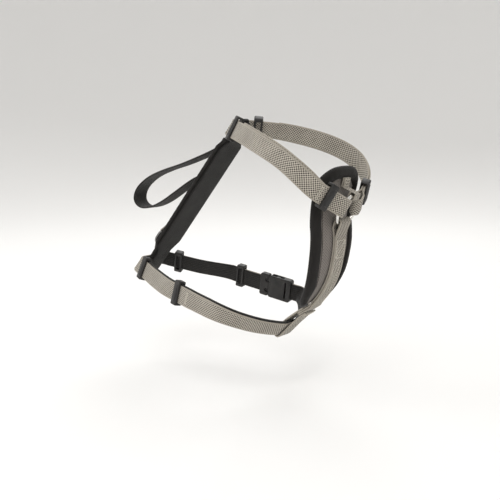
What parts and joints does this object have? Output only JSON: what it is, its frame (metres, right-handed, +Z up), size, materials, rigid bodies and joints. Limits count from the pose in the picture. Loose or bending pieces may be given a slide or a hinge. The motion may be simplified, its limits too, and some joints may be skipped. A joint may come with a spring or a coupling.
{
  "type": "no pull harness",
  "caption": "Padded dog harness with a chest leash ring, back leash ring, grab handle, sliding strap adjusters and a side release girth buckle.",
  "frame": {"origin": "middle of the dog's torso, between the neck and girth openings, in the worn shape", "axes": "+X towards the dog's front, +Y towards its left, +Z up"},
  "size_m": [0.3138, 0.1449, 0.2407],
  "materials": {
    "tweed_webbing": "woven bird's-eye webbing",
    "black_webbing": "ribbed webbing",
    "padded_border": "padded knit binding",
    "grey_mesh": "open air mesh",
    "lining_mesh": "soft lining mesh",
    "bright_nickel": "polished nickel plate",
    "dark_nickel": "satin nickel plate",
    "black_plastic": "moulded, fine grain"
  },
  "bodies": {
    "harness": {"chest_top_tab": "tweed_webbing", "sternum_strap": "tweed_webbing", "belly_loop": "tweed_webbing", "neck_strap_right": "tweed_webbing", "neck_strap_left": "tweed_webbing", "withers_patch": "tweed_webbing", "spine_strap": "tweed_webbing", "girth_strap_right": "tweed_webbing", "girth_strap_left": "tweed_webbing", "girth_strap_left_middle": "tweed_webbing", "girth_strap_left_front": "tweed_webbing", "handle_anchor_upper": "black_webbing", "handle_anchor_lower": "black_webbing", "girth_backing_right": "black_webbing", "girth_backing_left": "black_webbing", "buckle_housing": "black_plastic", "chest_pad_panel": "grey_mesh", "chest_pad_border": "padded_border", "chest_pad_lining": "lining_mesh", "back_pad": "padded_border", "back_pad_lining": "lining_mesh"},
    "chest_ring": {"chest_ring": "bright_nickel"},
    "handle": {"handle": "black_webbing"},
    "d_ring": {"d_ring": "dark_nickel"},
    "buckle_insert": {"buckle_insert": "black_plastic"},
    "buckle_arm_upper": {"buckle_arm_upper": "black_plastic"},
    "buckle_arm_lower": {"buckle_arm_lower": "black_plastic"},
    "shoulder_slider_right": {"shoulder_slider_right": "black_plastic"},
    "shoulder_slider_left": {"shoulder_slider_left": "black_plastic"},
    "chest_slider_right": {"chest_slider_right": "black_plastic"},
    "chest_slider_left": {"chest_slider_left": "black_plastic"},
    "back_slider_right": {"back_slider_right": "black_plastic"},
    "back_slider_left": {"back_slider_left": "black_plastic"},
    "side_slider_right": {"side_slider_right": "black_plastic"},
    "side_slider_left": {"side_slider_left": "black_plastic"}
  },
  "joints": [
    {"name": "chest_ring_spin", "type": "hinge", "parent": "harness", "child": "chest_ring", "pos_m": [0.12, 0, 0.036], "axis": [0.9063, 0, -0.4226], "continuous": true},
    {"name": "handle_swing", "type": "hinge", "parent": "harness", "child": "handle", "pos_m": [-0.05828, 0, 0.08986], "axis": [-0.6402, 0, -0.7682], "range_deg": [-30, 30], "stiffness_Nm_per_rad": 0.02},
    {"name": "d_ring_swing", "type": "hinge", "parent": "harness", "child": "d_ring", "pos_m": [-0.13289, 0, -0.00678], "axis": [0, 1, 0], "range_deg": [0, 150]},
    {"name": "buckle_release", "type": "slide", "parent": "harness", "child": "buckle_insert", "axis": [-0.9768, -0.1315, 0.1691], "range_m": [0, 0.018], "deforming": ["girth_strap_left_middle"]},
    {"name": "buckle_squeeze", "type": "hinge", "parent": "buckle_insert", "child": "buckle_arm_upper", "pos_m": [-0.02649, 0.06302, -0.06438], "axis": [-0.114, 0.9875, 0.1093], "range_deg": [0, 8], "stiffness_Nm_per_rad": 0.02},
    {"name": "buckle_squeeze_lower", "type": "hinge", "parent": "buckle_insert", "child": "buckle_arm_lower", "pos_m": [-0.02885, 0.06415, -0.07712], "axis": [-0.114, 0.9875, 0.1093], "range_deg": [-8, 0], "stiffness_Nm_per_rad": 0.02},
    {"name": "shoulder_adjust_right", "type": "slide", "parent": "harness", "child": "shoulder_slider_right", "axis": [0.7837, -0.6129, -0.1007], "range_m": [-0.003, 0.01]},
    {"name": "shoulder_adjust_left", "type": "slide", "parent": "harness", "child": "shoulder_slider_left", "axis": [0.7837, 0.6129, -0.1007], "range_m": [-0.003, 0.01]},
    {"name": "chest_adjust_right", "type": "slide", "parent": "harness", "child": "chest_slider_right", "axis": [0.191, 0.8784, -0.4381], "range_m": [-0.003, 0.003]},
    {"name": "chest_adjust_left", "type": "slide", "parent": "harness", "child": "chest_slider_left", "axis": [0.191, -0.8784, -0.4381], "range_m": [-0.003, 0.003]},
    {"name": "back_adjust_right", "type": "slide", "parent": "harness", "child": "back_slider_right", "axis": [0.9072, -0.378, -0.1845], "range_m": [-0.005, 0.01]},
    {"name": "back_adjust_left", "type": "slide", "parent": "harness", "child": "back_slider_left", "axis": [0.9072, 0.378, -0.1845], "range_m": [-0.005, 0.01]},
    {"name": "side_adjust_right", "type": "slide", "parent": "harness", "child": "side_slider_right", "axis": [0.9662, -0.2254, -0.1252], "range_m": [-0.01, 0.01]},
    {"name": "side_adjust_left", "type": "slide", "parent": "harness", "child": "side_slider_left", "axis": [0.9768, 0.1315, -0.1691], "range_m": [-0.0015, 0.004]}
  ],
  "couplings": [
    {"joint": "buckle_squeeze_lower", "follows": "buckle_squeeze", "ratio": -1}
  ]
}
